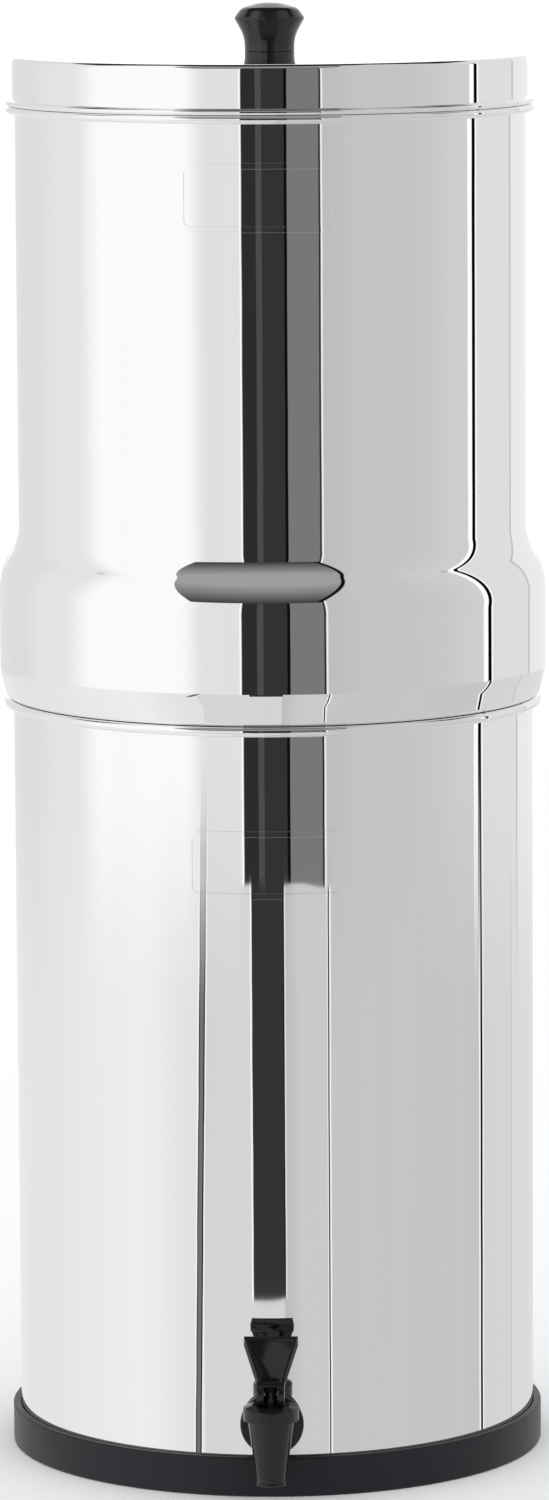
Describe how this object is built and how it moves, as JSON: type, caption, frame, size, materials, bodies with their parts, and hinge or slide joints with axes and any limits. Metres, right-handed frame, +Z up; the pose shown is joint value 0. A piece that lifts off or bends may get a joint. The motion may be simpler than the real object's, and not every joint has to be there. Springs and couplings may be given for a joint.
{
  "type": "gravity water filter",
  "caption": "Tall round stainless gravity water filter: two stacked chambers, lift-off lid with knob, black base ring and a lever tap.",
  "frame": {"origin": "on the ground under the axis of the chambers, in the resting face of the base ring", "axes": "+Z up along the axis of the chambers, -Y the way the tap points, +X to the right seen from the tap's side"},
  "size_m": [0.287, 0.3224, 0.762],
  "materials": {
    "polished_steel": "mirror polished",
    "black_gloss_plastic": "gloss",
    "base_rubber": "satin",
    "black_washer_rubber": "matt",
    "plug_rubber": "matt",
    "clear_silicone": "soft",
    "black_carbon": "matt",
    "moulded_plastic": "satin",
    "fastener_steel": "bright"
  },
  "bodies": {
    "base": {"base_ring": "base_rubber", "lower_chamber": "polished_steel", "tap_body": "black_gloss_plastic", "tap_outer_washer": "black_washer_rubber", "tap_inner_washer": "black_washer_rubber", "tap_nut": "moulded_plastic", "tap_bonnet": "black_gloss_plastic"},
    "upper": {"upper_chamber": "polished_steel", "filter_element_1": "black_carbon", "filter_element_2": "black_carbon", "filter_element_3": "black_carbon", "filter_element_4": "black_carbon", "element_base_1": "moulded_plastic", "element_base_2": "moulded_plastic", "element_base_3": "moulded_plastic", "element_base_4": "moulded_plastic", "blocking_plug_1": "plug_rubber", "blocking_plug_2": "plug_rubber", "blocking_plug_3": "plug_rubber", "blocking_plug_4": "plug_rubber", "element_washers": "black_washer_rubber", "element_wing_nuts": "moulded_plastic"},
    "lid": {"lid_shell": "polished_steel", "lid_knob": "black_gloss_plastic", "knob_washer": "fastener_steel", "knob_screw": "fastener_steel"},
    "plunger": {"tap_stem": "black_gloss_plastic", "seat_cup": "clear_silicone", "tap_spring": "fastener_steel"},
    "lever": {"tap_lever": "black_gloss_plastic", "lever_pin": "fastener_steel"}
  },
  "joints": [
    {"name": "upper_lift", "type": "slide", "parent": "base", "child": "upper", "axis": [0, 0, 1], "range_m": [0, 0.1]},
    {"name": "lid_lift", "type": "slide", "parent": "upper", "child": "lid", "axis": [0, 0, 1], "range_m": [0, 0.08]},
    {"name": "plunger_lift", "type": "slide", "parent": "base", "child": "plunger", "axis": [0, 0, 1], "range_m": [0, 0.00349], "stiffness_N_per_m": 250, "springref_m": -0.006, "deforming": ["tap_spring"]},
    {"name": "lever_tilt", "type": "hinge", "parent": "plunger", "child": "lever", "pos_m": [0, -0.1646, 0.06], "axis": [1, 0, 0], "range_deg": [0, 50]}
  ],
  "couplings": [
    {"joint": "lever_tilt", "follows": "plunger_lift", "rad_per_m": 250}
  ]
}
